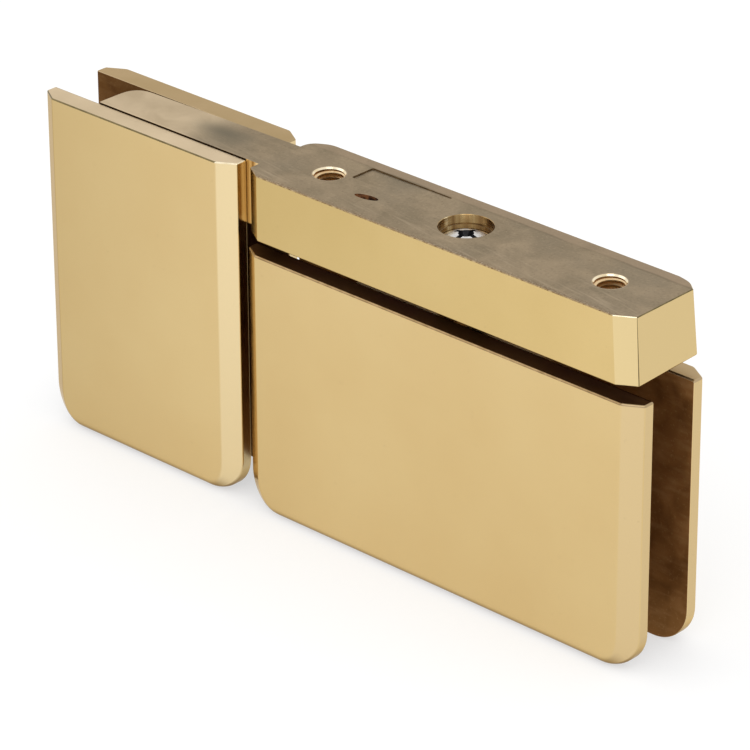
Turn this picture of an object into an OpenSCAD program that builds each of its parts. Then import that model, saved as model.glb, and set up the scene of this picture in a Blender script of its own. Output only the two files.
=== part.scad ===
// Glass door pivot hinge for a ceiling or transom, with a clamp for the fixed
// glass panel beside the door. Origin: pivot axis at the mounting face.
// +X runs along the door from the panel clamp to the free end, +Y to the back,
// +Z up to the ceiling. Millimetres.

/* [Envelope] */
// Thickness across the glass
body_thickness = 28; // [27:0.5:34]
// Slot between the clamp plates
slot_width = 15.2; // [14.6:0.1:16.4]
// Height from the mounting face to the bottom of the clamps
total_height = 98.5; // [90:0.5:120]

/* [Mounting block] */
// Height of the cast block
block_height = 18.6; // [17.5:0.1:22]
// Right end of the block from the pivot axis, at the mounting face
block_right = 65.6; // [58:0.1:80]
// Casting draft of the free end over the block's height
end_draft = 2.2; // [0.2:0.1:3]
// Corner chamfer along the length
chamfer_x = 5.2; // [2:0.1:7]
// Corner chamfer across the thickness
chamfer_y = 3.1; // [1:0.1:4]
// Run of the block's soft back right corner along the length
back_corner_x = 7.4; // [3:0.1:9]
// Radius of the tongue's back end corner
tongue_radius = 6.5; // [1:0.5:7]
// Distance between the two tapped holes
hole_spacing = 95.25; // [80:0.25:105]
// Minor diameter of the M8 mounting thread
hole_minor = 6.8; // [5:0.1:7.5]
// Depth of the mounting thread
hole_depth = 13.5; // [8:0.5:14]

/* [Fixed panel clamp] */
// Width of the fixed-panel plates
panel_width = 72.3; // [65:0.1:90]
// Gap between the door clamp's swing circle and the fixed-panel plates
end_gap = 2.8; // [1.5:0.1:6]
// Gap between the fixed-panel plates and the block
block_gap = 4.8; // [2:0.1:8]
// Drop of the fixed-panel plates below the mounting face
panel_drop = 0.5; // [0.2:0.1:2]
// Tongue's end inside the left end of the plates
tongue_inset = 17.1; // [5:0.1:20]

/* [Door clamp] */
// Gap between the block and the door plates
swing_gap = 4.2; // [4:0.1:7]
// Left end of the door plates from the pivot axis
door_left = 66.6; // [55:0.1:80]
// Right end of the door plates from the pivot axis
door_right = 68.8; // [55:0.1:85]
// Radius of the plates' lower corners
corner_radius = 11; // [5:0.5:18]
// Radius of the soft roll along the plates' bottom edge
bottom_roll = 4.2; // [1:0.1:5]

/* [Pivot] */
// Diameter of the pin's journal
journal_d = 9.5; // [9:0.1:10]
// Wall of the bushings
bushing_wall = 1.03; // [0.8:0.01:1.3]
// Radial running clearance of pin and bushings
run_clearance = 0.02; // [0.01:0.01:0.1]
// Half length of the pivot body
body_half = 32; // [30:0.5:45]
// Height of the pivot body
body_height = 38.4; // [36:0.1:48]
// Diameter of the detent balls
ball_d = 6; // [5.6:0.1:6.4]
// How far a detent ball drops into the pin's flute
ball_drop = 0.6; // [0.3:0.1:0.8]

/* [Screws] */
// Thread diameter of the clamp screws and the pin's screw
screw_d = 6; // [5:0.5:6]
// Head diameter of the clamp screws
screw_head = 12; // [10:0.5:13]
// Inset of the door clamp screws from the ends of the pivot body
door_screw_inset = 8; // [7:0.5:11]
// Head diameter of the pin's screw
pin_screw_head = 12.8; // [11:0.1:13.2]
// Counterbore over the pin's screw
bore_d = 14.4; // [14.2:0.1:17]

/* [Hidden] */
$fn = 64;
e = 0.01;
half_t = body_thickness / 2;
half_s = slot_width / 2;
plate_t = half_t - half_s;
screw_clear = screw_d + 0.6;

// lengths along the hinge, as distances left of the pivot axis
swing_radius = sqrt(pow(door_left, 2) + pow(half_t - chamfer_y, 2));
panel_right = swing_radius + end_gap;
panel_left = panel_right + panel_width;
block_left = panel_right - block_gap;
tongue_reach = panel_left - tongue_inset;

// depths below the mounting face
door_top = block_height + swing_gap;
body_top = door_top + 0.8;
body_bottom = body_top + body_height;
detent_z = body_top + body_height / 2;
tongue_mid = block_height / 2;
screw_row = 7.6;
door_screw_x = body_half - door_screw_inset;

// clamp screw places, [x, z]
tongue_screws = [[-(tongue_reach - 13.5), -tongue_mid], [-(panel_right + 13.2), -tongue_mid]];
panel_screw_at = [-(panel_left + panel_right) / 2, -(block_height + total_height) / 2 - 2];
door_screws = [for (z = [body_top + screw_row, body_bottom - screw_row], s = [-1, 1]) [s * door_screw_x, -z]];

// pin's screw, the step of its counterbore and the keyed socket of the pin
bore_step = 2.5;
seat_depth = 3.8;
socket_top = 9.4;
screw_in_pin = 13;
key_d = journal_d + 0.5;
key_flats = key_d - 1.6;

// pin, washer and bushings
flange_d = slot_width - 1.2;
flange_t = 1.6;
bushing_flange = 1;
bushing_length = 11;
bushing_d = journal_d + 2 * run_clearance + 2 * bushing_wall;
washer_bottom = body_top - bushing_flange - 0.2;
ring_t = 1;
ring_depth = body_bottom + bushing_flange + 0.4;
pin_end = ring_depth + ring_t + 1.6;

// detents
ball_gap = 0.15;
ball_x = journal_d / 2 + ball_d / 2 + ball_gap;
plug_d = 8;
plug_length = 7.4;
plug_from = body_half - plug_length - 0.3;
wire = 0.9;
spring_r = 2.1;
spring_from = ball_x + sqrt(pow(ball_d / 2 + wire / 2 + 0.05, 2) - pow(spring_r, 2)) - wire / 2;

// cast recess, [x, y, depth] from its corner, and the small hollow beside it,
// [length, width, depth] about its middle
recess = [27.4, 7.6, 0.5];
recess_at = [-(block_left - 23.8), 2.5];
slit = [7.2, 2.5, 1];
slit_at = [-(block_left - 35), -4.2];
slit_turn = 10;

brass = [0.83, 0.68, 0.36];
raw_brass = [0.55, 0.47, 0.34];
steel = [0.74, 0.75, 0.77];
bronze = [0.62, 0.45, 0.26];
black = [0.12, 0.12, 0.13];
white = [0.9, 0.9, 0.86];

// ---- shared shapes ----
// Cylinder across the hinge, from y0 to y1
module across(x, z, y0, y1, d) {
    translate([x, y0, z]) rotate([-90, 0, 0]) cylinder(h = y1 - y0, d = d);
}

// Cylinder along the hinge, from x0 to x1
module along(x0, x1, z, d) {
    translate([x0, 0, z]) rotate([0, 90, 0]) cylinder(h = x1 - x0, d = d);
}

// Cylinder from depth z0 down to depth z1
module down(z0, z1, d) {
    translate([0, 0, -z1]) cylinder(h = z1 - z0, d = d);
}

// Cone from diameter d0 at depth z0 down to diameter d1 at depth z1
module down_cone(z0, z1, d0, d1) {
    translate([0, 0, -z1]) cylinder(h = z1 - z0, d1 = d1, d2 = d0);
}

// One clamp plate between x0 and x1, outer face towards -Y: flat face, planed
// side chamfers, round lower corners and a soft roll along the bottom edge.
module plate(x0, x1, top) {
    r = corner_radius;
    b = bottom_roll;
    bottom = -total_height;
    intersection() {
        // plan section
        translate([0, 0, bottom]) linear_extrude(total_height - top) polygon([
            [x0, -half_s], [x0, -half_t + chamfer_y], [x0 + chamfer_x, -half_t],
            [x1 - chamfer_x, -half_t], [x1, -half_t + chamfer_y], [x1, -half_s]]);
        // outline with round lower corners
        union() {
            translate([x0 - 1, -half_t - 1, bottom + r]) cube([x1 - x0 + 2, plate_t + 2, total_height]);
            translate([x0 + r, -half_t - 1, bottom - 1]) cube([x1 - x0 - 2 * r, plate_t + 2, total_height]);
            for (x = [x0 + r, x1 - r]) across(x, bottom + r, -half_t - 1, -half_s + 1, 2 * r);
        }
        // soft roll of the bottom edge
        union() {
            translate([x0 - 1, -half_t - 1, bottom + b]) cube([x1 - x0 + 2, plate_t + 2, total_height]);
            translate([x0 - 1, -half_t + b, bottom - 1]) cube([x1 - x0 + 2, plate_t, total_height]);
            translate([0, -half_t + b, 0]) along(x0 - 1, x1 + 1, bottom + b, 2 * b);
        }
    }
}

// Countersunk through hole of a back plate, opening towards +Y
module countersink(at) {
    across(at[0], at[1], half_s - 1, half_t + 1, screw_clear);
    translate([at[0], half_t + 1, at[1]]) rotate([90, 0, 0])
        cylinder(h = screw_head / 2 + 1.23, d1 = screw_head + 2.46, d2 = 0);
}

// Blind threaded hole of a front plate
module blind_thread(at) {
    across(at[0], at[1], -half_t + 2.2, -half_s + 1, screw_d);
}

// Clearance hole of a clamp screw through the piece between the plates
module screw_way(at) {
    across(at[0], at[1], -half_t, half_t, screw_clear);
}

// Countersunk socket screw, its head flush with the back plate
module clamp_screw(at) {
    head_y = half_t - 0.2;
    head_h = (screw_head - screw_d) / 2;
    difference() {
        union() {
            translate([at[0], head_y, at[1]]) rotate([90, 0, 0])
                cylinder(h = head_h, d1 = screw_head, d2 = screw_d);
            across(at[0], at[1], -half_t + 2.6, head_y - head_h + e, screw_d);
        }
        hex_socket(at[0], at[1], head_y - 2.8);
    }
}

// Hexagon socket for a 4 mm key, from y up
module hex_socket(x, z, y) {
    translate([x, y, z]) rotate([-90, 30, 0]) cylinder(h = 6, d = 4.62, $fn = 6);
}

// Round bar with two flats, from depth z0 to depth z1
module keyed(z0, z1) {
    intersection() {
        down(z0, z1, key_d);
        translate([-key_flats / 2, -key_d, -z1]) cube([key_flats, 2 * key_d, z1 - z0]);
    }
}

// Coil spring along X from x0 to x1, one swept wire with closed ends
module coil(x0, x1) {
    turns = 8;
    steps = 16;
    sides = 8;
    n = turns * steps;
    pitch = (x1 - x0 - wire) / n;
    points = [for (i = [0:n], j = [0:sides - 1])
        let (a = 360 * i / steps, b = 360 * j / sides, q = spring_r + wire / 2 * cos(b))
        [x0 + wire / 2 + pitch * i + wire / 2 * sin(b), q * cos(a), q * sin(a)]];
    skin = [for (i = [0:n - 1], j = [0:sides - 1]) let (k = (j + 1) % sides)
        [i * sides + j, (i + 1) * sides + j, (i + 1) * sides + k, i * sides + k]];
    start = [[for (j = [0:sides - 1]) j]];
    finish = [[for (j = [0:sides - 1]) n * sides + sides - 1 - j]];
    translate([0, 0, -detent_z]) polyhedron(points = points, faces = concat(start, skin, finish));
}

// ---- fixed side ----
// Plan outline of the block: chamfered corners, with the free end as long as
// its draft makes it at the bottom
module block_plan() {
    end_x = block_right + end_draft;
    end_y = half_t - chamfer_y * (1 + end_draft / chamfer_x);
    back_y = half_t - chamfer_y * (1 + 1.2 * end_draft / back_corner_x);
    polygon([
        [-block_left, -half_t + chamfer_y], [-block_left + chamfer_x, -half_t],
        [block_right - chamfer_x, -half_t], [end_x, -end_y], [end_x, back_y],
        [block_right - 0.45 * back_corner_x, half_t - 0.3 * chamfer_y], [block_right - back_corner_x, half_t],
        [-block_left + chamfer_x, half_t], [-block_left, half_t - chamfer_y]]);
}

// Side view of the block, with the drafted free end
module block_side() {
    end_x = block_right + end_draft;
    polygon([[-block_left - 1, 0], [-block_left - 1, -block_height], [end_x, -block_height], [block_right, 0]]);
}

// Tongue, its back end corner rounded
module tongue() {
    inner = tongue_reach - tongue_radius;
    translate([0, 0, -block_height]) {
        translate([-inner, -half_s, 0]) cube([inner - block_left + 1, slot_width, block_height]);
        translate([-tongue_reach, -half_s, 0])
            cube([tongue_radius + e, slot_width - tongue_radius, block_height]);
        translate([-inner, half_s - tongue_radius, 0]) cylinder(h = block_height, r = tongue_radius);
    }
}

// Tapped blind hole with its drill point, bored to the thread's minor diameter
module mounting_hole() {
    down(-1, hole_depth, hole_minor);
    down_cone(hole_depth - e, hole_depth + 1.9, hole_minor, 0.2);
}

// Stepped counterbore, screw seat and clearance, and the pin's keyed socket
module pin_bore() {
    down(-1, bore_step, bore_d);
    down(0, seat_depth, pin_screw_head + 0.7);
    down_cone(seat_depth - e, seat_depth + (pin_screw_head + 0.4 - screw_clear) / 2,
              pin_screw_head + 0.4, screw_clear);
    down(seat_depth, socket_top + 1, screw_clear);
    keyed(socket_top, block_height + 1);
}

module mount_block() color(brass) difference() {
    union() {
        intersection() {
            translate([0, 0, -block_height]) linear_extrude(block_height) block_plan();
            translate([0, half_t + 1, 0]) rotate([90, 0, 0]) linear_extrude(body_thickness + 2) block_side();
        }
        tongue();
    }
    for (s = [-1, 1]) translate([s * hole_spacing / 2, 0, 0]) mounting_hole();
    pin_bore();
    translate([recess_at[0], recess_at[1], -recess[2]]) cube([recess[0], recess[1], 1]);
    translate([slit_at[0], slit_at[1], -slit[2]]) rotate([0, 0, slit_turn])
        scale([slit[0] / slit[1], 1, 1]) cylinder(h = 2, d = slit[1], $fn = 32);
    for (at = tongue_screws) screw_way(at);
}

module pivot_pin() color(steel) difference() {
    union() {
        keyed(socket_top, block_height + e);
        down(block_height, block_height + flange_t, flange_d);
        down(block_height + flange_t - e, pin_end - 0.6, journal_d);
        down_cone(pin_end - 0.6 - e, pin_end, journal_d, journal_d - 1.2);
    }
    down(socket_top - 1, socket_top + screw_in_pin + 2, screw_d);
    // flutes that catch the detent balls at every quarter turn
    for (a = [0:90:270]) rotate([0, 0, a])
        translate([journal_d / 2 + ball_d / 2 - ball_drop, 0, 0]) down(detent_z - 5, detent_z + 5, ball_d + 0.2);
    difference() {
        down(ring_depth - 0.05, ring_depth + ring_t + 0.05, journal_d + 1);
        down(0, pin_end, journal_d - 1.1);
    }
}

module pivot_screw() color(steel) difference() {
    dome_h = 2;
    dome_r = (pow(pin_screw_head / 2, 2) + pow(dome_h, 2)) / (2 * dome_h);
    union() {
        translate([0, 0, -seat_depth]) intersection() {
            cylinder(h = dome_h, d = pin_screw_head);
            translate([0, 0, dome_h - dome_r]) sphere(r = dome_r, $fn = 96);
        }
        down_cone(seat_depth - e, seat_depth + (pin_screw_head - screw_d) / 2, pin_screw_head, screw_d);
        down(seat_depth + 3, socket_top + screw_in_pin, screw_d);
    }
    // cross recess
    intersection() {
        for (a = [0, 90]) rotate([0, 0, a]) translate([-3.6, -0.65, -seat_depth - 2.6]) cube([7.2, 1.3, 6]);
        down_cone(seat_depth - 2.4, seat_depth + 2.6, 8.6, 2.4);
    }
    down_cone(seat_depth - 2.4, seat_depth + 2.6, 4.4, 1.6);
}

module thrust_washer() color(black) difference() {
    down(block_height + flange_t, washer_bottom, flange_d);
    down(0, pin_end, journal_d + 0.2);
}

// Open ring in the groove at the pin's end
module retaining_ring() color(steel) difference() {
    down(ring_depth, ring_depth + ring_t, flange_d - 0.2);
    down(0, pin_end, journal_d - 1);
    translate([0, 0, -pin_end]) rotate([0, 0, 90]) translate([0, -2.6, 0]) cube([flange_d, 5.2, pin_end]);
}

module fixed_plate_front() color(brass) difference() {
    plate(-panel_left, -panel_right, panel_drop);
    for (at = concat(tongue_screws, [panel_screw_at])) blind_thread(at);
}

module fixed_plate_back() color(brass) difference() {
    mirror([0, 1, 0]) plate(-panel_left, -panel_right, panel_drop);
    for (at = concat(tongue_screws, [panel_screw_at])) countersink(at);
}

module tongue_screw_outer() color(steel) clamp_screw(tongue_screws[0]);
module tongue_screw_inner() color(steel) clamp_screw(tongue_screws[1]);
module panel_screw() color(steel) clamp_screw(panel_screw_at);

module panel_sleeve() color(white) difference() {
    across(panel_screw_at[0], panel_screw_at[1], -half_s, half_s, screw_head);
    across(panel_screw_at[0], panel_screw_at[1], -half_t, half_t, screw_d + 0.4);
}

// ---- door side ----
module pivot_body() color(raw_brass) difference() {
    r = 4;
    union() {
        translate([-body_half + r, -half_s, -body_bottom]) cube([2 * (body_half - r), slot_width, body_height]);
        translate([-body_half, -half_s, -body_bottom + r]) cube([2 * body_half, slot_width, body_height - r]);
        for (s = [-1, 1]) across(s * (body_half - r), -body_bottom + r, -half_s, half_s, 2 * r);
    }
    down(0, total_height, bushing_d);
    along(-body_half - 1, body_half + 1, -detent_z, ball_d + 0.2);
    for (a = [0, 180]) rotate([0, 0, a]) along(plug_from - 0.3, body_half + 1, -detent_z, plug_d);
    for (at = door_screws) screw_way(at);
}

// Flanged bushing, its flange above depth z0, or below depth z0 when turned over
module bushing(z0, over) {
    difference() {
        union() {
            down(over ? z0 - bushing_length : z0, over ? z0 : z0 + bushing_length, bushing_d);
            down(over ? z0 - e : z0 - bushing_flange, over ? z0 + bushing_flange : z0 + e, flange_d);
        }
        down(0, total_height, journal_d + 2 * run_clearance);
    }
}

module upper_bushing() color(bronze) bushing(body_top, false);
module lower_bushing() color(bronze) bushing(body_bottom, true);

module door_plate_front() color(brass) difference() {
    plate(-door_left, door_right, door_top);
    for (at = door_screws) blind_thread(at);
}

module door_plate_back() color(brass) difference() {
    mirror([0, 1, 0]) plate(-door_left, door_right, door_top);
    for (at = door_screws) countersink(at);
}

module door_screw_top_left() color(steel) clamp_screw(door_screws[0]);
module door_screw_top_right() color(steel) clamp_screw(door_screws[1]);
module door_screw_bottom_left() color(steel) clamp_screw(door_screws[2]);
module door_screw_bottom_right() color(steel) clamp_screw(door_screws[3]);

// The pieces of one detent, drawn on the right of the pin
module detent_plug() difference() {
    along(plug_from, plug_from + plug_length, -detent_z, plug_d);
    translate([body_half - 4, 0, -detent_z]) rotate([0, 90, 0]) cylinder(h = 6, d = 4.62, $fn = 6);
}

module detent_spring() coil(spring_from, plug_from - 0.1);

module detent_ball() translate([ball_x, 0, -detent_z]) sphere(d = ball_d);

module left_side() {
    rotate([0, 0, 180]) children();
}

module detent_plug_right() color(black) detent_plug();
module detent_plug_left() color(black) left_side() detent_plug();
module detent_spring_right() color(steel) detent_spring();
module detent_spring_left() color(steel) left_side() detent_spring();
module detent_ball_right() color(steel) detent_ball();
module detent_ball_left() color(steel) left_side() detent_ball();

mount_block();
pivot_pin();
pivot_screw();
thrust_washer();
retaining_ring();
fixed_plate_front();
fixed_plate_back();
tongue_screw_outer();
tongue_screw_inner();
panel_screw();
panel_sleeve();
pivot_body();
upper_bushing();
lower_bushing();
door_plate_front();
door_plate_back();
door_screw_top_left();
door_screw_top_right();
door_screw_bottom_left();
door_screw_bottom_right();
detent_plug_left();
detent_plug_right();
detent_ball_left();
detent_ball_right();
detent_spring_left();
detent_spring_right();
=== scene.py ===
"""Glass door pivot hinge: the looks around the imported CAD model.

Metres, in the CAD frame. Origin: pivot axis at the mounting face, +X along the
hinge to the free end, +Y to the back, +Z up. Sizes given in mm are scaled by MM.
"""

import math

import bmesh
import bpy
from mathutils import Matrix, Vector


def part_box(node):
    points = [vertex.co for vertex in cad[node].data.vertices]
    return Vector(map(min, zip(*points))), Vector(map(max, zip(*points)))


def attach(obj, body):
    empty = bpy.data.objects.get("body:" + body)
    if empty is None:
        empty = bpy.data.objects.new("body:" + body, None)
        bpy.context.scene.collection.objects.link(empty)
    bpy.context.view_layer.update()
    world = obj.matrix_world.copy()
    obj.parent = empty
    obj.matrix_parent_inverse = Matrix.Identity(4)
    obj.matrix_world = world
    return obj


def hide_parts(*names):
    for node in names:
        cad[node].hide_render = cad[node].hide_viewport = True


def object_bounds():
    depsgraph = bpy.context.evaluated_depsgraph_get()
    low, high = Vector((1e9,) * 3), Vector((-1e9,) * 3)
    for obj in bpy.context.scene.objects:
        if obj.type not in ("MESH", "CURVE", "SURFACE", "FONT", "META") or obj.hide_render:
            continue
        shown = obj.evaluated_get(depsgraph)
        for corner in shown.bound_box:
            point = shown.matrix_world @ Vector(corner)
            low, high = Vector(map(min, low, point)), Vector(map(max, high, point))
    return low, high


MM = 0.001
scene = bpy.context.scene
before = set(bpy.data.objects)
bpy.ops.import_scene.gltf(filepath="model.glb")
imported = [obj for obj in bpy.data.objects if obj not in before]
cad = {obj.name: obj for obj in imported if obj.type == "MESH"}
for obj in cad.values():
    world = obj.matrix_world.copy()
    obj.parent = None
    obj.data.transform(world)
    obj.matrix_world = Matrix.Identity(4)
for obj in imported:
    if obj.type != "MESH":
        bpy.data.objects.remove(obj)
cad_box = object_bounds()

# ---------------------------------------------------------------- camera
CAMERA_AT = (0.6882, -0.7576, 0.4679)
AZIMUTH = math.radians(43.54)
PITCH = math.radians(26.47)
ROLL = math.radians(-0.25)
LENS = 215.24
SENSOR = 36


def make_camera():
    ahead = Vector((-math.sin(AZIMUTH), math.cos(AZIMUTH), 0))
    forward = ahead * math.cos(PITCH) - Vector((0, 0, math.sin(PITCH)))
    right = Vector((math.cos(AZIMUTH), math.sin(AZIMUTH), 0))
    up = right.cross(forward)
    side = right * math.cos(ROLL) + up * math.sin(ROLL)
    head = up * math.cos(ROLL) - right * math.sin(ROLL)
    data = bpy.data.cameras.new("camera")
    data.lens = LENS
    data.sensor_width = SENSOR
    camera = bpy.data.objects.new("camera", data)
    scene.collection.objects.link(camera)
    turn = Matrix((side, head, -forward)).transposed().to_4x4()
    camera.matrix_world = Matrix.Translation(CAMERA_AT) @ turn
    scene.camera = camera


make_camera()

# ---------------------------------------------------------------- sizes in mm
# All clamp plates.
HALF_T = 14.0  # half the hinge's thickness
HALF_S = 7.6  # half the slot between two plates
CHAMFER_X = 5.2
CHAMFER_Y = 3.1
CORNER_RADIUS = 11.0
BOTTOM_ROLL = 4.2
INNER_EDGE = 0.35
SOFT_EDGE = 0.45
OUTER_EDGE = SOFT_EDGE * 1.4
INNER_POINTS = 4
EDGE_POINTS = 7
TOP_POINTS = 5
CORNER_POINTS = 17

# How far each plate's top edge is rounded.
PANEL_FRONT_TOP = 0.4
PANEL_BACK_TOP = 0.25
DOOR_TOP_EDGE = 0.6

# Clamp screws and their holes. The front plates' holes are tapped and blind.
SCREW_CLEAR = 3.3
THREAD_HOLE = 3.0
THREAD_WALL = 2.2
LEAD_IN = 0.4
SINK_RADIUS = 6.23

# Mounting block. A pair of radii is for the top and the underside.
BLOCK_HEIGHT = 18.6
BLOCK_LEFT = -65.49
BLOCK_RIGHT = 65.6
END_DRAFT = 1.2
BACK_TOP = (Vector((-0.4, -3.4)), Vector((-3.3, -0.93)), Vector((-7.4, 0.0)))
BACK_BOTTOM = (Vector((0.0, -1.5)), Vector((-1.7, -0.5)), Vector((-5.1, 0.0)))
BLOCK_CRISP = (0.35, 0.8)
BLOCK_ROUND = (7.0, 7.0)
BLOCK_TOP_EDGE = 0.28
BLOCK_UNDER_EDGE = 0.6
UNDER_POINTS = 7
ROUND_POINTS = 7

# Tongue.
TONGUE_OVERLAP = 3
TONGUE_TAPER = 1.5
TONGUE_CRISP = (0.3, 0.3)
TONGUE_ROUND = (6.5, 6.5)
TONGUE_TOP_EDGE = 0.2
TONGUE_UNDER_EDGE = 0.5

# Tapped mounting holes and the ridge of their thread.
HOLE_X = 47.625
HOLE_DEPTH = 13.5
HOLE_TIP = 2.2
MOUTH_FLARE = 0.4
MOUTH_DEPTH = 0.45
ROOT_RADIUS = 4.0
CREST_RADIUS = 3.4
PITCH_MM = 1.25
RIDGE_SUNK = 0.05
RIDGE_FOOT = 0.46
RIDGE_CREST = 0.14
RIDGE_START = 0.9
RIDGE_SHORT = 1.2
RIDGE_FADE = 0.4
RIDGE_STEPS = 44

# Counterbore over the pivot, the seat of its screw and the bore for the pin.
BORE_RADIUS = 7.2
BORE_FLARE = 0.1
BORE_LIP = 0.12
BORE_STEP = 2.5
SEAT_RADIUS = 6.75
SEAT_DEPTH = 3.8
CONE_RADIUS = 6.6
PIN_RADIUS = 5.02
PIN_TOP = 9.4
CROSS_RADIUS = 3.9
CROSS_DEPTH = 3

# Shallow pocket and small hollow in the top.
RECESS_X = (BLOCK_LEFT + 23.8, BLOCK_LEFT + 51.2)
RECESS_Y = (2.5, 10.1)
RECESS_DEPTH = 0.42
RECESS_RISE = 0.2
RECESS_FLARE = 0.2
RECESS_CORNER = 0.6
HOLLOW_AT = (BLOCK_LEFT + 35, -4.2)
HOLLOW_LENGTH = 7.2
HOLLOW_WIDTH = 2.5
HOLLOW_RINGS = ((-1.0, 0.72), (-0.5, 0.9), (0.0, 1.0), (1.0, 1.0))
HOLLOW_TURN = math.radians(10)
HOLLOW_POINTS = 40

ABOVE = 1  # how far a cutting tool stands out of the face that it cuts
FLAT = 0.98  # how far a normal points along an axis on a face that is square to it


# ---------------------------------------------------------------- materials
class Look:
    """A Principled material with a few helpers for its nodes."""

    def __init__(self, name, metallic, roughness, colour, **sockets):
        self.material = bpy.data.materials.new(name)
        self.material.use_nodes = True
        self.tree = self.material.node_tree
        self.shader = self.tree.nodes["Principled BSDF"]
        self.material.diffuse_color = (*colour, 1)
        self.shader.inputs["Metallic"].default_value = metallic
        self.shader.inputs["Roughness"].default_value = roughness
        self.shader.inputs["Base Color"].default_value = (*colour, 1)
        for key, value in sockets.items():
            self.shader.inputs[key.replace("_", " ")].default_value = value
        self.texture = self.add("ShaderNodeTexCoord")
        self.coords = self.texture.outputs["Object"]

    def add(self, kind, inputs=(), **settings):
        node = self.tree.nodes.new(kind)
        for key, value in settings.items():
            setattr(node, key, value)
        for key, value in dict(inputs).items():
            if isinstance(value, bpy.types.NodeSocket):
                self.tree.links.new(value, node.inputs[key])
            else:
                node.inputs[key].default_value = value
        return node

    def along(self, axis):
        """The place along an axis of the hinge, in metres."""
        return self.add("ShaderNodeSeparateXYZ", {"Vector": self.coords}).outputs[axis]

    def facing(self, axis):
        """How far the surface faces along an axis of the hinge, from -1 to 1."""
        normal = self.texture.outputs["Normal"]
        return self.add("ShaderNodeSeparateXYZ", {"Vector": normal}).outputs[axis]

    def noise(self, scale, detail, stretch=(1, 1, 1), shift=(0, 0, 0), distortion=0.0, turn=0.0):
        """Noise from 0 to 1. The turn, in degrees about Z, comes before stretch and shift."""
        turned = self.coords
        if turn:
            angles = (0, 0, math.radians(turn))
            step = self.add("ShaderNodeMapping", {"Vector": turned, "Rotation": angles})
            turned = step.outputs["Vector"]
        placed = self.add("ShaderNodeMapping", {"Vector": turned, "Scale": stretch, "Location": shift})
        made = self.add("ShaderNodeTexNoise", {"Vector": placed.outputs["Vector"], "Scale": scale,
                                               "Detail": detail, "Distortion": distortion})
        return made.outputs["Fac"]

    def ramp(self, value, stops):
        node = self.add("ShaderNodeValToRGB", {"Fac": value})
        band = node.color_ramp
        while len(band.elements) < len(stops):
            band.elements.new(0.5)
        for element, (place, colour) in zip(band.elements, stops):
            element.position = place
            element.color = (*colour, 1)
        return node.outputs["Color"]

    def span(self, value, low, high, to_low=0.0, to_high=1.0, smooth=False):
        """Maps low and high onto to_low and to_high, and holds the ends."""
        kind = "SMOOTHSTEP" if smooth else "LINEAR"
        limits = {"Value": value, "From Min": low, "From Max": high, "To Min": to_low,
                  "To Max": to_high}
        return self.add("ShaderNodeMapRange", limits, interpolation_type=kind).outputs["Result"]

    def mix(self, share, a, b, blend="MIX"):
        node = self.add("ShaderNodeMix", data_type="RGBA", blend_type=blend)
        for place, value in ((0, share), (6, a), (7, b)):
            if isinstance(value, bpy.types.NodeSocket):
                self.tree.links.new(value, node.inputs[place])
            elif place:
                node.inputs[place].default_value = (*value, 1)
            else:
                node.inputs[place].default_value = value
        return node.outputs[2]

    def shade(self, share, tone, colour):
        """The tone multiplied by a colour, by a share."""
        return self.mix(share, tone, colour, "MULTIPLY")

    def times(self, a, b):
        return self.add("ShaderNodeMath", {0: a, 1: b}, operation="MULTIPLY").outputs[0]

    def plus(self, a, b):
        return self.add("ShaderNodeMath", {0: a, 1: b}, operation="ADD").outputs[0]

    def blob(self, centre, radii):
        """1 at centre falling to 0 at the ellipsoid's surface, both in mm."""
        scale = tuple(1 / (r * MM) for r in radii)
        shift = tuple(-c / r for c, r in zip(centre, radii))
        placed = self.add("ShaderNodeMapping", {"Vector": self.coords, "Scale": scale, "Location": shift})
        length = self.add("ShaderNodeVectorMath", {0: placed.outputs["Vector"]}, operation="LENGTH")
        return self.span(length.outputs["Value"], 1.0, 0.0, smooth=True)

    def colour(self, value):
        self.tree.links.new(value, self.shader.inputs["Base Color"])

    def roughness(self, value):
        self.tree.links.new(value, self.shader.inputs["Roughness"])

    def bump(self, height, distance, strength):
        """Bumps; distance is how high, in metres, a height of 1 stands."""
        node = self.add("ShaderNodeBump", {"Height": height, "Distance": distance, "Strength": strength})
        self.tree.links.new(node.outputs["Normal"], self.shader.inputs["Normal"])


def halfway(a, b):
    return tuple((x + y) / 2 for x, y in zip(a, b))


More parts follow.
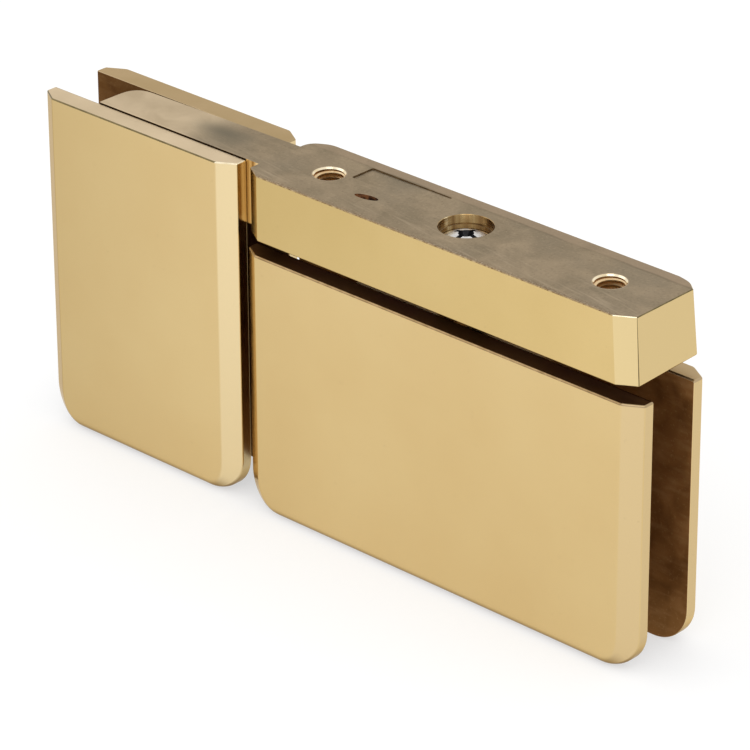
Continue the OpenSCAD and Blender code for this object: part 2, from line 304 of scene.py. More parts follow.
def polished_brass(name, light, deep, painted_chamfer_light, shade_fall, left):
    """Polished faces, with light and shade painted by the way they face.

    Faces turned down get a painted dark shade; right-hand chamfers get a painted lighter tone and
    the ends a painted paler one. A pair of places along X in mm and a share paint a shade along the
    hinge: darker by that share at the first place and none at the second. The left-hand chamfers
    are darker by left, a painted shade.
    """
    look = Look(name, 1.0, 0.16, light, Specular_Tint=(0.9, 0.78, 0.6, 1))
    tone = look.mix(look.span(look.noise(22, 4), 0.35, 0.65), deep, light)

    # Painted light by facing: right-hand chamfers get a lighter tone, the ends a paler one.
    lean = look.facing("X")
    slope = look.times(look.span(lean, 0.2, 0.46, smooth=True), look.span(lean, 0.92, 0.6, smooth=True))
    tone = look.mix(slope, tone, painted_chamfer_light)
    painted_end_tone = [part * dim for part, dim in zip(halfway(light, painted_chamfer_light), (0.945, 0.95, 0.985))]
    tone = look.mix(look.span(lean, 0.96, 0.99), tone, painted_end_tone)
    # Painted shade on the left-hand chamfers.
    tone = look.shade(look.span(lean, -0.2, -0.4, 0, left), tone, (0.5, 0.48, 0.44))
    # Painted shade on faces turned down, a painted dark reflection along the bottom edges.
    painted_under_shade = look.span(look.facing("Z"), -0.2, -0.85, smooth=True)
    tone = look.shade(painted_under_shade, tone, (0.22, 0.15, 0.09))

    # Painted shade along X, standing for a gradient in the reflection across the faces.
    start, end, share = shade_fall
    painted_fall_shade = look.span(look.along("X"), start * MM, end * MM, share, 0)
    tone = look.shade(painted_fall_shade, tone, (0.6, 0.6, 0.57))
    grey = (0.8, 0.8, 0.8)
    specks = look.ramp(look.noise(700, 3), [(0.0, grey), (0.27, grey), (0.31, (1, 1, 1))])
    look.colour(look.shade(0.25, tone, specks))
    look.roughness(look.span(look.noise(60, 5, distortion=0.6), 0.3, 0.7, 0.12, 0.2))
    look.bump(look.noise(900, 2, stretch=(0.12, 1, 1)), 0.000004, 0.35)
    return look.material


def raw_cast():
    """Sawn and tarnished casting: the block's top and the tongue."""
    look = Look("raw_cast", 1.0, 0.5, (0.3, 0.24, 0.16), Specular_Tint=(0.8, 0.72, 0.6, 1))
    mottle = look.noise(95, 7, distortion=0.9)
    patches = look.noise(30, 4, shift=(3, 1, 2))
    streaks = look.noise(420, 5, stretch=(0.08, 1, 1))
    grain = look.noise(1300, 4)
    tone = look.ramp(mottle, [(0.3, (0.24, 0.193, 0.132)), (0.5, (0.31, 0.246, 0.168)),
                              (0.7, (0.39, 0.308, 0.21))])
    tone = look.mix(look.span(patches, 0.48, 0.68, 0, 0.55), tone, (0.25, 0.215, 0.162))
    tone = look.mix(look.span(streaks, 0.55, 0.75, 0, 0.3), tone, (0.42, 0.33, 0.22))
    tone = look.mix(look.span(grain, 0.56, 0.72, 0, 0.3), tone, (0.13, 0.1, 0.066))
    tone = look.mix(look.span(grain, 0.44, 0.3, 0, 0.25), tone, (0.5, 0.4, 0.28))

    # A paler band along the block's back edge, with a dark ridge where it starts.
    x = look.along("X")
    wander = look.span(look.noise(60, 4, stretch=(1, 0, 0)), 0.2, 0.8, -0.6 * MM, 0.6 * MM)
    edge = look.plus(look.along("Y"), wander)
    on_block = look.span(x, -66 * MM, -62 * MM)
    band = look.times(look.span(edge, 10.3 * MM, 10.9 * MM), on_block)
    band = look.times(band, look.span(patches, 0.3, 0.6, 0.2, 0.5))
    tone = look.mix(band, tone, (0.41, 0.305, 0.215))
    ridge = look.times(look.span(edge, 9.7 * MM, 10.3 * MM), look.span(edge, 11 * MM, 10.5 * MM))
    ridge = look.times(ridge, look.span(patches, 0.4, 0.6, 0.05, 0.35))
    tone = look.mix(ridge, tone, (0.15, 0.115, 0.075))

    # Slanting scratches on the front half.
    scratches = look.noise(1100, 4, stretch=(0.06, 1, 1), shift=(1, 7, 0), turn=9)
    front = look.span(edge, -1 * MM, -9 * MM)
    scratched = look.times(look.span(scratches, 0.52, 0.66, 0, 0.45), front)
    scratched = look.times(scratched, look.span(patches, 0.35, 0.55))
    tone = look.mix(scratched, tone, (0.5, 0.4, 0.285))

    # Pale burrs round the tapped holes.
    for hole in (-HOLE_X, HOLE_X):
        burr = look.blob((hole, 0, 0), (4.8, 4.8, 4.8))
        tone = look.mix(look.span(burr, 0, 0.006, 0, 0.35), tone, (0.62, 0.5, 0.37))

    # Dark and bright spots along the block's front edge.
    spots = look.noise(2200, 3, shift=(4, 4, 0))
    rim = look.times(look.span(edge, -12.2 * MM, -13.4 * MM), on_block)
    dark = look.times(look.span(spots, 0.48, 0.6, 0, 0.5), rim)
    tone = look.mix(dark, tone, (0.17, 0.085, 0.045))
    bright = look.times(look.span(spots, 0.42, 0.32, 0, 0.55), rim)
    tone = look.mix(bright, tone, (0.62, 0.52, 0.39))

    # Cleaner brass towards the tongue's end, with a stain on it.
    brass = look.mix(look.span(mottle, 0.35, 0.65), (0.54, 0.43, 0.29), (0.64, 0.52, 0.36))
    tone = look.mix(look.span(x, -82 * MM, -100 * MM, 0, 0.9, smooth=True), tone, brass)
    stain = look.times(look.blob((-86, 0.5, 0), (14.5, 6.2, 10)), 0.85)
    look.colour(look.mix(stain, tone, (0.18, 0.16, 0.12)))

    look.roughness(look.span(mottle, 0.3, 0.7, 0.4, 0.6))
    rough = look.plus(look.times(mottle, 0.6), look.times(streaks, 0.4))
    look.bump(look.plus(rough, look.times(grain, 0.3)), 0.00007, 0.6)
    return look.material


def brown_inside(name, strength):
    """Unpolished faces, brown from tarnish and painted shade, and painted darker towards the plates'
    bottom.
    """
    def brown(*colour):
        return tuple(c * strength for c in colour)

    look = Look(name, 0.7, 0.55, brown(0.2, 0.09, 0.026), Specular_IOR_Level=0.2,
                Specular_Tint=(0.6, 0.36, 0.18, 1))
    mottle = look.noise(85, 8, distortion=0.8)
    cloud = look.noise(20, 3, shift=(5, 0, 1))
    pits = look.noise(1500, 3)
    brushed = look.noise(500, 4, stretch=(0.25, 1, 1))
    tone = look.ramp(mottle, [(0.3, brown(0.125, 0.052, 0.014)), (0.5, brown(0.195, 0.088, 0.026)),
                              (0.72, brown(0.29, 0.145, 0.054))])
    tone = look.mix(look.span(cloud, 0.45, 0.65, 0, 0.5), tone, brown(0.235, 0.112, 0.036))
    tone = look.mix(look.span(brushed, 0.5, 0.7, 0, 0.4), tone, brown(0.3, 0.16, 0.065))
    tone = look.mix(look.span(pits, 0.6, 0.76, 0, 0.25), tone, brown(0.44, 0.27, 0.12))
    # Painted shade: darker towards the bottom of the plates.
    low = look.span(look.along("Z"), -60 * MM, -95 * MM)
    look.colour(look.shade(low, tone, (0.76, 0.78, 0.8)))
    look.roughness(look.span(mottle, 0.3, 0.7, 0.42, 0.62))
    look.bump(look.plus(look.times(pits, 0.4), mottle), 0.00005, 0.5)
    return look.material


def satin_brass(name, dark, light):
    """Machined edges at the tops of the plates."""
    look = Look(name, 1.0, 0.34, halfway(dark, light), Specular_Tint=(0.9, 0.78, 0.6, 1))
    cloud = look.noise(45, 4)
    lines = look.noise(1500, 2, stretch=(0.05, 1, 1))
    look.colour(look.mix(look.span(cloud, 0.35, 0.65), dark, light))
    look.roughness(look.span(cloud, 0.3, 0.7, 0.28, 0.4))
    look.bump(lines, 0.000008, 0.4)
    return look.material


def sawn_brass():
    """Rough sides of the tongue: upright marks where they show, painted dark as shade in the joint with
    the plates.
    """
    look = Look("sawn_brass", 1.0, 0.3, (0.6, 0.4, 0.18))
    marks = look.noise(750, 4, stretch=(1, 1, 0.02))
    tone = look.ramp(marks, [(0.36, (0.3, 0.155, 0.045)), (0.5, (0.62, 0.4, 0.16)),
                             (0.66, (0.85, 0.63, 0.33))])
    # Painted shade in the joint with the plates.
    joint_shade = look.span(look.along("X"), -70.2 * MM, -70.6 * MM)
    look.colour(look.mix(joint_shade, tone, (0.06, 0.036, 0.016)))
    look.bump(marks, 0.00003, 0.6)
    return look.material


def bore_brass():
    """Wall of the pivot's bore, browned and painted darker as shade, with upright tool marks whose pale
    streaks are painted highlights.
    """
    look = Look("bore_brass", 1.0, 0.18, (0.36, 0.23, 0.1))
    marks = look.noise(330, 4, stretch=(1, 1, 0.03))
    # Painted shade in the dark stops, painted highlight streaks in the pale ones.
    look.colour(look.ramp(marks, [(0.36, (0.17, 0.085, 0.03)), (0.5, (0.36, 0.23, 0.095)),
                                  (0.6, (0.5, 0.36, 0.17)), (0.68, (0.86, 0.72, 0.44))]))
    look.roughness(look.span(marks, 0.35, 0.65, 0.12, 0.26))
    look.bump(marks, 0.00002, 0.6)
    return look.material


def mottled(name, metallic, dark, light, rough, scale=120, depth=0.00001, **sockets):
    """Metal or plastic whose tone and gloss drift a little."""
    look = Look(name, metallic, sum(rough) / 2, halfway(dark, light), **sockets)
    cloud = look.noise(scale, 5, distortion=0.3)
    fine = look.noise(scale * 14, 2)
    look.colour(look.mix(look.span(cloud, 0.35, 0.65), dark, light))
    look.roughness(look.span(cloud, 0.3, 0.7, *rough))
    look.bump(fine, depth, 0.5)
    return look.material


BLOCK_BRASS = polished_brass("block_brass", light=(0.665, 0.49, 0.215), deep=(0.62, 0.45, 0.187),
                             painted_chamfer_light=(0.72, 0.56, 0.285), shade_fall=(-66, 50, 0.24), left=0)
PANEL_BRASS = polished_brass("panel_brass", light=(0.685, 0.512, 0.25), deep=(0.66, 0.482, 0.228),
                             painted_chamfer_light=(0.76, 0.605, 0.345), shade_fall=(-145, -72, 0.39), left=0.6)
DOOR_BRASS = polished_brass("door_brass", light=(0.675, 0.503, 0.243), deep=(0.65, 0.473, 0.221),
                            painted_chamfer_light=(0.665, 0.5, 0.262), shade_fall=(-70, -40, 0.1), left=0)
RAW = raw_cast()
# Lit and shaded copies of one brown: painted shade on the panel plates' insides, painted light on the
# door's.
BROWN = brown_inside("brown_underside", 1.0)
PANEL_BROWN_SHADED = brown_inside("brown_inside_panel_shaded", 0.65)
DOOR_BROWN_LIT = brown_inside("brown_inside_door_lit", 1.5)
# Painted shadow of the block on the door front plate's top.
DOOR_TOP_SHADOW = brown_inside("brown_top_painted_shadow", 0.35)
BORE = bore_brass()
SATIN = satin_brass("satin_brass", (0.6, 0.49, 0.345), (0.73, 0.6, 0.43))
# A shaded copy of the satin: painted shade on the back plates' tops and the door's chamfer tops.
SATIN_SHADED = satin_brass("satin_brass_shaded", (0.39, 0.285, 0.155), (0.47, 0.35, 0.205))
SAWN = sawn_brass()
PATINA = mottled("patina", 0.3, (0.02, 0.007, 0.002), (0.27, 0.11, 0.04), (0.5, 0.7), 450, 0.0001,
                 Specular_IOR_Level=0.1)
ROOT = mottled("thread_root", 1.0, (0.32, 0.16, 0.06), (0.44, 0.25, 0.1), (0.3, 0.45))
# Painted highlight on the chamfers' top edges and the mouths of the tapped holes.
GLINT = mottled("bright_edge_painted_glint", 1.0, (0.8, 0.66, 0.42), (0.95, 0.84, 0.62), (0.14, 0.24), 300)
SPECKLE = mottled("speckled_edge", 1.0, (0.17, 0.1, 0.045), (0.46, 0.34, 0.19), (0.3, 0.45), 1000)
# Painted dark reflection on the door front plate's top edge.
DOOR_RIM = mottled("door_rim_painted_shade", 1.0, (0.27, 0.175, 0.08), (0.4, 0.27, 0.135), (0.2, 0.3), 300)
THREAD = mottled("thread_ridge", 1.0, (0.7, 0.5, 0.27), (0.9, 0.72, 0.45), (0.3, 0.42), 200)
PIVOT_BRASS = mottled("pivot_brass", 1.0, (0.36, 0.26, 0.12), (0.56, 0.42, 0.22), (0.3, 0.48), 90,
                      0.00003)
BRIGHT = mottled("bright_steel_plated", 1.0, (0.6, 0.6, 0.61), (0.78, 0.78, 0.8), (0.16, 0.28), 300)
ZINC = mottled("zinc_plated", 0.85, (0.6, 0.59, 0.57), (0.8, 0.79, 0.77), (0.34, 0.46), 300)
PIN_STEEL = mottled("ground_steel", 1.0, (0.46, 0.46, 0.48), (0.6, 0.6, 0.62), (0.2, 0.32), 250)
BLACK_OXIDE = mottled("black_oxide", 0.8, (0.03, 0.03, 0.034), (0.06, 0.06, 0.066), (0.35, 0.5), 300)
BRONZE = mottled("oiled_bronze", 1.0, (0.36, 0.21, 0.09), (0.5, 0.32, 0.15), (0.32, 0.5), 900, 0.00003)
ACETAL = mottled("black_acetal_moulded", 0.0, (0.012, 0.012, 0.013), (0.024, 0.024, 0.026),
                 (0.34, 0.46), 500)
NYLON = mottled("clear_nylon_turned", 0.0, (0.72, 0.74, 0.72), (0.84, 0.85, 0.83), (0.16, 0.26), 300,
                Transmission_Weight=0.55, IOR=1.52)
# Painted dark reflection on the front panel plate's top edge and on the block's end edges and arris.
RIM = mottled("olive_rim_painted_shade", 1.0, (0.13, 0.1, 0.045), (0.22, 0.17, 0.08), (0.3, 0.45), 300)
# Painted shade on the pocket's walls and the tongue's back top edge.
SHADE = mottled("painted_shade_edge", 0.9, (0.05, 0.028, 0.01), (0.13, 0.08, 0.034), (0.5, 0.7), 800)
RECESS = mottled("recess_shade", 0.6, (0.02, 0.02, 0.022), (0.05, 0.05, 0.055), (0.4, 0.6), 500)


# ---------------------------------------------------------------- mesh helpers
def add_mesh(name, points, faces):
    mesh = bpy.data.meshes.new(name)
    mesh.from_pydata([tuple(p) for p in points], [], faces)
    made = bmesh.new()
    made.from_mesh(mesh)
    bmesh.ops.recalc_face_normals(made, faces=made.faces)
    made.to_mesh(mesh)
    made.free()
    thing = bpy.data.objects.new(name, mesh)
    scene.collection.objects.link(thing)
    return thing


def loft(name, rings):
    """Closed solid through rings of the same number of points."""
    count = len(rings[0])
    points = [p for ring in rings for p in ring]
    faces = []
    for i in range(len(rings) - 1):
        a = i * count
        b = a + count
        faces += [(a + j, a + (j + 1) % count, b + (j + 1) % count, b + j) for j in range(count)]
    faces.append(tuple(range(count)))
    faces.append(tuple(range(len(points) - count, len(points))))
    return add_mesh(name, points, faces)


def lathe(name, profile, centre, axis="Z", count=72):
    """Solid of revolution from (radius, height) pairs in mm, its axis through centre in metres."""
    rings = []
    for radius, height in profile:
        ring = []
        for k in range(count):
            a = 2 * math.pi * k / count
            u = radius * math.cos(a) * MM
            v = radius * math.sin(a) * MM
            local = (u, v, height * MM) if axis == "Z" else (u, height * MM, v)
            ring.append(Vector(centre) + Vector(local))
        rings.append(ring)
    return loft(name, rings)


def combine(thing, tool, operation="DIFFERENCE"):
    """Cuts tool from thing, or joins the two, and removes tool."""
    step = thing.modifiers.new("combine", "BOOLEAN")
    step.operation = operation
    step.solver = "EXACT"
    step.object = tool
    graph = bpy.context.evaluated_depsgraph_get()
    mesh = bpy.data.meshes.new_from_object(thing.evaluated_get(graph))
    thing.modifiers.clear()
    thing.data = mesh
    bpy.data.objects.remove(tool)


def smooth(thing, degrees):
    """Smooth shading, sharp at the edges where the surface turns by more than that."""
    for face in thing.data.polygons:
        face.use_smooth = True
    thing.data.set_sharp_from_angle(angle=math.radians(degrees))


def soften(thing):
    """Smooth shading that keeps the flat faces flat."""
    smooth(thing, 38)
    weighted = thing.modifiers.new("normals", "WEIGHTED_NORMAL")
    weighted.keep_sharp = True
    weighted.weight = 80


def paint(thing, choose):
    """Gives each face the material that choose(face) returns."""
    picks = [choose(face) for face in thing.data.polygons]
    materials = list(dict.fromkeys(picks))
    thing.data.materials.clear()
    for material in materials:
        thing.data.materials.append(material)
    for face, material in zip(thing.data.polygons, picks):
        face.material_index = materials.index(material)


def bend(a, corner, b, count):
    """Points of a soft corner from a to b."""
    steps = [k / (count - 1) for k in range(count)]
    return [a * (1 - t) ** 2 + corner * 2 * t * (1 - t) + b * t * t for t in steps]


def quarter(count):
    """Sine and cosine of count angles from 0 to 90 degrees."""
    angles = [math.pi / 2 * k / (count - 1) for k in range(count)]
    return [(math.sin(a), math.cos(a)) for a in angles]


# ---------------------------------------------------------------- clamp plates
def inner_edge():
    """(inset, depth) pairs in mm round the edge of the inner face."""
    return bend(Vector((INNER_EDGE, 0)), Vector((0, 0)), Vector((0, INNER_EDGE)), INNER_POINTS)


def side_profile(thickness):
    """(inset, depth) pairs in mm from the inner face round the chamfered side to the outer face."""
    slope = Vector((CHAMFER_X, CHAMFER_Y)).normalized()
    low = Vector((0, thickness - CHAMFER_Y))
    high = Vector((CHAMFER_X, thickness))
    points = inner_edge()
    points += bend(low - Vector((0, SOFT_EDGE)), low, low + slope * SOFT_EDGE, EDGE_POINTS)
    points += bend(high - slope * OUTER_EDGE, high, high + Vector((OUTER_EDGE, 0)), EDGE_POINTS)
    return points


def bottom_profile(thickness):
    """The same number of points round the rolled bottom edge."""
    points = inner_edge()
    for sine, cosine in quarter(2 * EDGE_POINTS):
        points.append(Vector((BOTTOM_ROLL * (1 - cosine), thickness - BOTTOM_ROLL * (1 - sine))))
    return points


def shrink(profile, amount):
    """The profile moved inwards by amount, for the rounded top edge."""
    moved = []
    last = len(profile) - 1
    for k, point in enumerate(profile):
        if k == 0:
            inward = Vector((0, 1))
        elif k == last:
            inward = Vector((0, -1))
        else:
            along = (profile[k + 1] - profile[k - 1]).normalized()
            inward = Vector((along.y, -along.x))
        moved.append(point + inward * amount)
    return moved


def plate_rows(left, right, bottom, top, thickness, top_edge):
    """Rows of (x, depth, z) in mm, from the top of the left side round the bottom to the top right.

    The first TOP_POINTS rows and the last ones round the top edge.
    """
    side = side_profile(thickness)
    roll = bottom_profile(thickness)
    rows = []
    for sine, cosine in quarter(TOP_POINTS):
        z = top - top_edge * (1 - cosine)
        rows.append([(left + p.x, p.y, z) for p in shrink(side, top_edge * (1 - sine))])
    centre_x = left + CORNER_RADIUS
    centre_z = bottom + CORNER_RADIUS
    for sine, cosine in quarter(CORNER_POINTS):
        row = []
        for s, r in zip(side, roll):
            p = s.lerp(r, sine ** 2)
            reach = CORNER_RADIUS - p.x
            row.append((centre_x - reach * cosine, p.y, centre_z - reach * sine))
        rows.append(row)
    mirrored = [[(left + right - x, depth, z) for x, depth, z in row] for row in reversed(rows)]
    return rows + mirrored


def make_plate(name, node, out, top_edge):
    """A clamp plate in the place of a CAD plate; out is -1 at the front and 1 at the back."""
    low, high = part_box(node)
    left, right = low.x / MM, high.x / MM
    bottom, top = low.z / MM, high.z / MM
    thickness = (high.y - low.y) / MM
    inner = (high.y if out < 0 else low.y) / MM
    rows = plate_rows(left, right, bottom, top, thickness, top_edge)
    count = len(rows[0])
    points = [(x * MM, (inner + out * depth) * MM, z * MM) for row in rows for x, depth, z in row]
    faces = []
    for i in range(len(rows) - 1):
        a = i * count
        b = a + count
        faces += [(a + j, a + j + 1, b + j + 1, b + j) for j in range(count - 1)]
    final = len(rows) - 1
    straight = TOP_POINTS - 1
    for column in (0, count - 1):
        edge = [i * count + column for i in range(len(rows))]
        faces.append(tuple(edge[straight:len(rows) - straight]))
        faces += [(edge[j], edge[j + 1], edge[final - j - 1], edge[final - j]) for j in range(straight)]
    faces.append(tuple(range(count)) + tuple(reversed(range(final * count, final * count + count))))
    return add_mesh(name, points, faces)


def screw_place(node):
    """X and Z of a clamp screw's axis, in metres."""
    low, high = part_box(node)
    return (low.x + high.x) / 2, (low.z + high.z) / 2


def screw_hole(screw, out):
    """Countersunk hole of a back plate, or tapped hole of a front plate."""
    if out > 0:
        profile = [(SCREW_CLEAR, HALF_S - ABOVE), (SCREW_CLEAR, HALF_T - SINK_RADIUS + SCREW_CLEAR),
                   (SINK_RADIUS, HALF_T), (SINK_RADIUS + ABOVE, HALF_T + ABOVE)]
    else:
        mouth = THREAD_HOLE + LEAD_IN
        profile = [(THREAD_HOLE, -HALF_T + THREAD_WALL), (THREAD_HOLE, -HALF_S - LEAD_IN),
                   (mouth, -HALF_S), (mouth, -HALF_S + ABOVE)]
    x, z = screw_place(screw)
    return lathe("tool", profile, (x, 0, z), "Y")


def dress_plate(node, out, screws, body, top_edge):
    thing = make_plate(node + "_dressed", node, out, top_edge)
    for screw in screws:
        combine(thing, screw_hole(screw, out))
    front = out < 0
    # Top edges get painted light and shade: a shadow on the door's front top, shaded satin on back tops
    # and the door's chamfer tops, a highlight on the front panel chamfer's top, dark reflections on front
    # rims.
    if body == "door_clamp":
        brass, brown, rim = DOOR_BRASS, DOOR_BROWN_LIT, DOOR_RIM
        upper = DOOR_TOP_SHADOW if front else SATIN_SHADED
        corner = SATIN_SHADED
    else:
        brass, brown, rim = PANEL_BRASS, PANEL_BROWN_SHADED, RIM
        upper = SATIN if front else SATIN_SHADED
        corner = GLINT if front else SATIN_SHADED
    edge_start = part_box(node)[1].z - top_edge * MM

    def choose(face):
        if face.normal.y * out < -FLAT:
            return brown
        if face.center.z < edge_start:
            return brass
        if face.normal.z > FLAT:
            return upper
        if face.normal.x > 0.2:
            return corner
        return rim if front else upper

    paint(thing, choose)
    soften(thing)
    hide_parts(node)
    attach(thing, body)


PANEL_SCREWS = ("tongue_screw_outer", "tongue_screw_inner", "panel_screw")
DOOR_SCREWS = ("door_screw_top_left", "door_screw_top_right",
               "door_screw_bottom_left", "door_screw_bottom_right")
dress_plate("fixed_plate_front", -1, PANEL_SCREWS, "fixed_side", PANEL_FRONT_TOP)
dress_plate("fixed_plate_back", 1, PANEL_SCREWS, "fixed_side", PANEL_BACK_TOP)
dress_plate("door_plate_front", -1, DOOR_SCREWS, "door_clamp", DOOR_TOP_EDGE)
dress_plate("door_plate_back", 1, DOOR_SCREWS, "door_clamp", DOOR_TOP_EDGE)


# ---------------------------------------------------------------- mounting block
def inset_polygon(corners, amount):
    """Convex counter-clockwise polygon with its sides moved inwards."""
    moved = []
    count = len(corners)
    for k, corner in enumerate(corners):
        a = (corner - corners[k - 1]).normalized()
        b = (corners[(k + 1) % count] - corner).normalized()
        normal = Vector((-a.y - b.y, a.x + b.x))
        moved.append(corner + normal * (amount / (1 + a.dot(b))))
    return moved


def round_polygon(corners, radii):
    """The polygon with soft corners, ROUND_POINTS points to each."""
    points = []
    for k, corner in enumerate(corners):
        before = corners[k - 1] - corner
        after = corners[(k + 1) % len(corners)] - corner
        turn = math.pi - before.angle(after)
        reach = radii[k] * math.tan(turn / 2)
        reach = min(reach, before.length * 0.45, after.length * 0.45)
        start = corner + before.normalized() * reach
        end = corner + after.normalized() * reach
        points += bend(start, corner, end, ROUND_POINTS)
    return points


def block_outline(z):
    """Plan corners of the block at a height in mm; its free end spreads downwards."""
    share = -z / BLOCK_HEIGHT
    end = BLOCK_RIGHT + END_DRAFT * share
    left = BLOCK_LEFT
    corner = Vector((BLOCK_RIGHT, HALF_T))
    back = [corner + top.lerp(bottom, share) for top, bottom in zip(BACK_TOP, BACK_BOTTOM)]
    front = [Vector(p) for p in ((left, -HALF_T + CHAMFER_Y), (left + CHAMFER_X, -HALF_T),
                                 (end - CHAMFER_X, -HALF_T), (end, -HALF_T + CHAMFER_Y))]
    return front + back + [Vector((left + CHAMFER_X, HALF_T)), Vector((left, HALF_T - CHAMFER_Y))]


def tongue_outline(z):
    """Plan corners of the tongue, the same at every height; its back tapers to the end."""
    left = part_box("mount_block")[0].x / MM
    right = BLOCK_LEFT + TONGUE_OVERLAP
    return [Vector(p) for p in ((left, -HALF_S), (right, -HALF_S), (right, HALF_S),
                                (left, HALF_S - TONGUE_TAPER))]


def bar(name, outline, radii, top_edge, under_edge):
    """Upright bar between the mounting face and the block's underside with rounded edges."""
    levels = [(-top_edge * (1 - cosine), top_edge * (1 - sine)) for sine, cosine in quarter(TOP_POINTS)]
    for sine, cosine in quarter(UNDER_POINTS):
        levels.append((-BLOCK_HEIGHT + under_edge * (1 - sine), under_edge * (1 - cosine)))
    rings = []
    for z, inset in levels:
        share = -z / BLOCK_HEIGHT
        corners = inset_polygon(outline(z), inset)
        sizes = [max(0.1, (a + (b - a) * share) - inset) for a, b in radii]
        rings.append([(p.x * MM, p.y * MM, z * MM) for p in round_polygon(corners, sizes)])
    return loft(name, rings)


def mount_hole(x):
    """Flared mouth, thread root and drill tip of a tapped hole."""
    mouth = ROOT_RADIUS + MOUTH_FLARE
    profile = [(mouth + ABOVE, ABOVE), (mouth, 0.0), (ROOT_RADIUS, -MOUTH_DEPTH),
               (ROOT_RADIUS, -HOLE_DEPTH), (0.1, -HOLE_DEPTH - HOLE_TIP)]
    return lathe("tool", profile, (x * MM, 0, 0))


def pivot_bore():
    """Counterbore, conical seat and clearance hole of the pivot screw, and the pin's bore."""
    mouth = BORE_RADIUS + BORE_FLARE
    cone_end = -SEAT_DEPTH - CONE_RADIUS + SCREW_CLEAR
    profile = [(mouth + ABOVE, ABOVE), (mouth, 0.0), (BORE_RADIUS, -BORE_LIP), (BORE_RADIUS, -BORE_STEP),
               (SEAT_RADIUS, -BORE_STEP), (SEAT_RADIUS, -SEAT_DEPTH), (CONE_RADIUS, -SEAT_DEPTH),
               (SCREW_CLEAR, cone_end), (SCREW_CLEAR, -PIN_TOP), (PIN_RADIUS, -PIN_TOP),
               (PIN_RADIUS, -BLOCK_HEIGHT - ABOVE)]
    return lathe("tool", profile, (0, 0, 0), count=96)


def recess_tool():
    """Shallow round-cornered pocket that runs out towards the pivot."""
    rings = []
    for height, spread in ((None, 0.0), (0, RECESS_FLARE), (ABOVE, RECESS_FLARE)):
        x0, x1 = RECESS_X[0] - spread, RECESS_X[1] + spread
        y0, y1 = RECESS_Y[0] - spread, RECESS_Y[1] + spread
        corners = [Vector((x0, y0)), Vector((x1, y0)), Vector((x1, y1)), Vector((x0, y1))]
        ring = []
        for p in round_polygon(corners, [RECESS_CORNER] * 4):
            share = (p.x - RECESS_X[0]) / (RECESS_X[1] - RECESS_X[0])
            z = -RECESS_DEPTH + RECESS_RISE * share if height is None else height
            ring.append((p.x * MM, p.y * MM, z * MM))
        rings.append(ring)
    return loft("tool", rings)


def hollow_tool():
    """Small oval hollow beside the pocket, a flaw of the casting."""
    rings = []
    for z, share in HOLLOW_RINGS:
        ring = []
        for k in range(HOLLOW_POINTS):
            a = 2 * math.pi * k / HOLLOW_POINTS
            u = HOLLOW_LENGTH / 2 * share * math.cos(a)
            v = HOLLOW_WIDTH / 2 * share * math.sin(a)
            x = HOLLOW_AT[0] + u * math.cos(HOLLOW_TURN) - v * math.sin(HOLLOW_TURN)
            y = HOLLOW_AT[1] + u * math.sin(HOLLOW_TURN) + v * math.cos(HOLLOW_TURN)
            ring.append((x * MM, y * MM, z * MM))
        rings.append(ring)
    return loft("tool", rings)


def near_recess(x, y):
    """Whether a place in mm is over the pocket, or within a millimetre of it."""
    (x0, x1), (y0, y1) = RECESS_X, RECESS_Y
    return x0 - 1 < x < x1 + 1 and y0 - 1 < y < y1 + 1


def block_finish(face):
    """The material of a face of the block or tongue, by its place in mm and its normal."""
    x, y, z = (c / MM for c in face.center)
    up = face.normal.z
    from_hollow = math.hypot(x - HOLLOW_AT[0], y - HOLLOW_AT[1])
    from_hole = min(math.hypot(x - HOLE_X, y), math.hypot(x + HOLE_X, y))
    if -1.2 < z < -0.05 and from_hollow < HOLLOW_LENGTH / 2 + 0.1:
        return PATINA
    # Painted shade on the pocket's walls.
    if up < 0.9 and -0.45 < z < -0.02 and near_recess(x, y):
        return SHADE
    # Painted shade on the bore's wall.
    if math.hypot(x, y) < BORE_RADIUS + 0.8 and up < FLAT:
        return BORE
    # Painted highlight on the holes' mouths.
    if from_hole < ROOT_RADIUS + 1.2 and up < FLAT:
        return GLINT if z > -MOUTH_DEPTH - 0.05 else ROOT
    if up > FLAT:
        return RAW
    if up < -FLAT:
        return BROWN
    # Painted shade on the tongue's back top edge.
    if x < BLOCK_LEFT and z > -TONGUE_TOP_EDGE - 0.02 and abs(y) > HALF_S - TONGUE_TAPER - 0.3:
        return RAW if face.normal.y < 0 else SHADE
    # Painted highlight on the chamfers' top edges, painted dark reflection on the end's.
    if z > -BLOCK_TOP_EDGE - 0.01:
        lean = face.normal.xy.normalized().x
        return SPECKLE if lean < 0.3 else GLINT if lean < 0.8 else RIM
    if x < BLOCK_LEFT - 0.2 and abs(y) < HALF_S + 0.1:
        return SAWN
    # Painted dark reflection on the front right arris.
    if face.normal.y < -0.25 and 0.82 < face.normal.x < 0.94:
        return RIM
    return BLOCK_BRASS


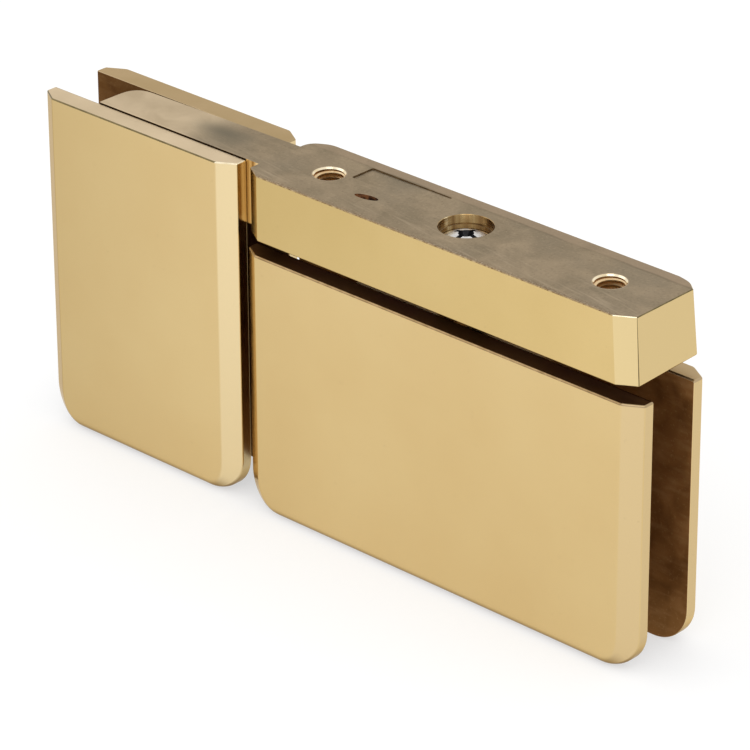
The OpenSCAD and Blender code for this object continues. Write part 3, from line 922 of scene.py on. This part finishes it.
def dress_block():
    block_radii = [BLOCK_CRISP] * 5 + [BLOCK_ROUND] * 4
    tongue_radii = [TONGUE_CRISP] * 3 + [TONGUE_ROUND]
    thing = bar("mount_block_dressed", block_outline, block_radii, BLOCK_TOP_EDGE, BLOCK_UNDER_EDGE)
    tongue = bar("tongue", tongue_outline, tongue_radii, TONGUE_TOP_EDGE, TONGUE_UNDER_EDGE)
    combine(thing, tongue, "UNION")
    combine(thing, mount_hole(-HOLE_X))
    combine(thing, mount_hole(HOLE_X))
    combine(thing, pivot_bore())
    combine(thing, recess_tool())
    combine(thing, hollow_tool())
    for screw in PANEL_SCREWS[:2]:
        x, z = screw_place(screw)
        combine(thing, lathe("tool", [(SCREW_CLEAR, -HALF_T), (SCREW_CLEAR, HALF_T)], (x, 0, z), "Y"))
    paint(thing, block_finish)
    soften(thing)
    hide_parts("mount_block")
    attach(thing, "fixed_side")


dress_block()


def thread(name, x):
    """The ridge of a tapped hole, one sweep down the wall that fades in and out."""
    turns = (HOLE_DEPTH - RIDGE_SHORT) / PITCH_MM
    total = int(turns * RIDGE_STEPS)
    fade = RIDGE_FADE * RIDGE_STEPS
    foot = ROOT_RADIUS + RIDGE_SUNK
    shape = [(foot, RIDGE_FOOT), (CREST_RADIUS, RIDGE_CREST),
             (CREST_RADIUS, -RIDGE_CREST), (foot, -RIDGE_FOOT)]
    rings = []
    for k in range(total + 1):
        a = 2 * math.pi * k / RIDGE_STEPS
        height = -RIDGE_START - PITCH_MM * k / RIDGE_STEPS
        grow = min(1, (k + 2) / fade, (total - k + 2) / fade)
        ring = []
        for radius, offset in shape:
            reach = (foot + (radius - foot) * grow) * MM
            z = (height + offset * (0.4 + 0.6 * grow)) * MM
            ring.append((x * MM + reach * math.cos(a), reach * math.sin(a), z))
        rings.append(ring)
    thing = loft(name, rings)
    paint(thing, lambda face: THREAD)
    smooth(thing, 35)
    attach(thing, "fixed_side")


thread("mount_thread_left", -HOLE_X)
thread("mount_thread_right", HOLE_X)

# ---------------------------------------------------------------- carried-over nodes
LOOKS = {
    BRIGHT: PANEL_SCREWS + DOOR_SCREWS + ("detent_ball_left", "detent_ball_right"),
    PIN_STEEL: ("pivot_pin", "retaining_ring", "detent_spring_left", "detent_spring_right"),
    PIVOT_BRASS: ("pivot_body",),
    BRONZE: ("upper_bushing", "lower_bushing"),
    BLACK_OXIDE: ("detent_plug_left", "detent_plug_right"),
    ACETAL: ("thrust_washer",),
    NYLON: ("panel_sleeve",),
}
for material, names in LOOKS.items():
    for name in names:
        cad[name].data.materials.clear()
        cad[name].data.materials.append(material)


def pivot_screw_finish(face):
    """Plated screw, its cross recess painted dark as shade."""
    inside = math.hypot(face.center.x, face.center.y) < CROSS_RADIUS * MM
    high = face.center.z > -(SEAT_DEPTH + CROSS_DEPTH) * MM
    return RECESS if inside and high and face.normal.z < 0.8 else ZINC


paint(cad["pivot_screw"], pivot_screw_finish)

# ---------------------------------------------------------------- stage and light
FLOOR_REACH = 9.0
FLOOR_GREY = (0.42, 0.42, 0.42)
FLOOR_GLOW = 0.58
FLOOR_GAP = 0.05


def make_stage():
    z = cad_box[0][2] - FLOOR_GAP * MM
    signs = ((-1, -1), (1, -1), (1, 1), (-1, 1))
    corners = [(x * FLOOR_REACH, y * FLOOR_REACH, z) for x, y in signs]
    floor = add_mesh("floor", corners, [(0, 1, 2, 3)])
    look = Look("paper_floor", 0.0, 0.9, FLOOR_GREY, Specular_IOR_Level=0.0,
                Emission_Color=(1, 1, 1, 1), Emission_Strength=FLOOR_GLOW)
    floor.data.materials.append(look.material)
    world = bpy.data.worlds.new("studio")
    scene.world = world
    world.use_nodes = True
    sky = world.node_tree.nodes["Background"]
    sky.inputs["Color"].default_value = (1.0, 1.0, 1.0, 1)
    sky.inputs["Strength"].default_value = 1.0


def hang(name, data, at, aim):
    """Puts a light in its place, turned towards aim."""
    lamp = bpy.data.objects.new(name, data)
    lamp.location = at
    lamp.rotation_euler = (Vector(aim) - Vector(at)).to_track_quat("-Z", "Y").to_euler()
    scene.collection.objects.link(lamp)


def area(name, at, aim, size, power):
    """Square soft box."""
    data = bpy.data.lights.new(name, "AREA")
    data.shape = "RECTANGLE"
    data.size = size
    data.size_y = size
    data.energy = power
    hang(name, data, at, aim)


def pool(name, at, aim, radius, power, colour):
    """Soft round pool of light on the floor."""
    data = bpy.data.lights.new(name, "SPOT")
    data.energy = power
    data.color = colour
    data.spot_blend = 1.0
    data.spot_size = 2 * math.atan(radius / (Vector(at) - Vector(aim)).length)
    data.shadow_soft_size = 0.05
    hang(name, data, at, aim)


make_stage()
area("key", (0.9, -1.1, 1.3), (0.0, -0.1, -0.05), 1.2, 7)
area("fill", (-1.3, -0.9, 1.0), (-0.1, -0.1, -0.05), 1.3, 3)
pool("front_pool", (0.03, -0.3, 1.0), (0.02, -0.24, -0.1), 0.22, 9, (0.8, 0.86, 1.0))
scene.view_settings.view_transform = "Standard"
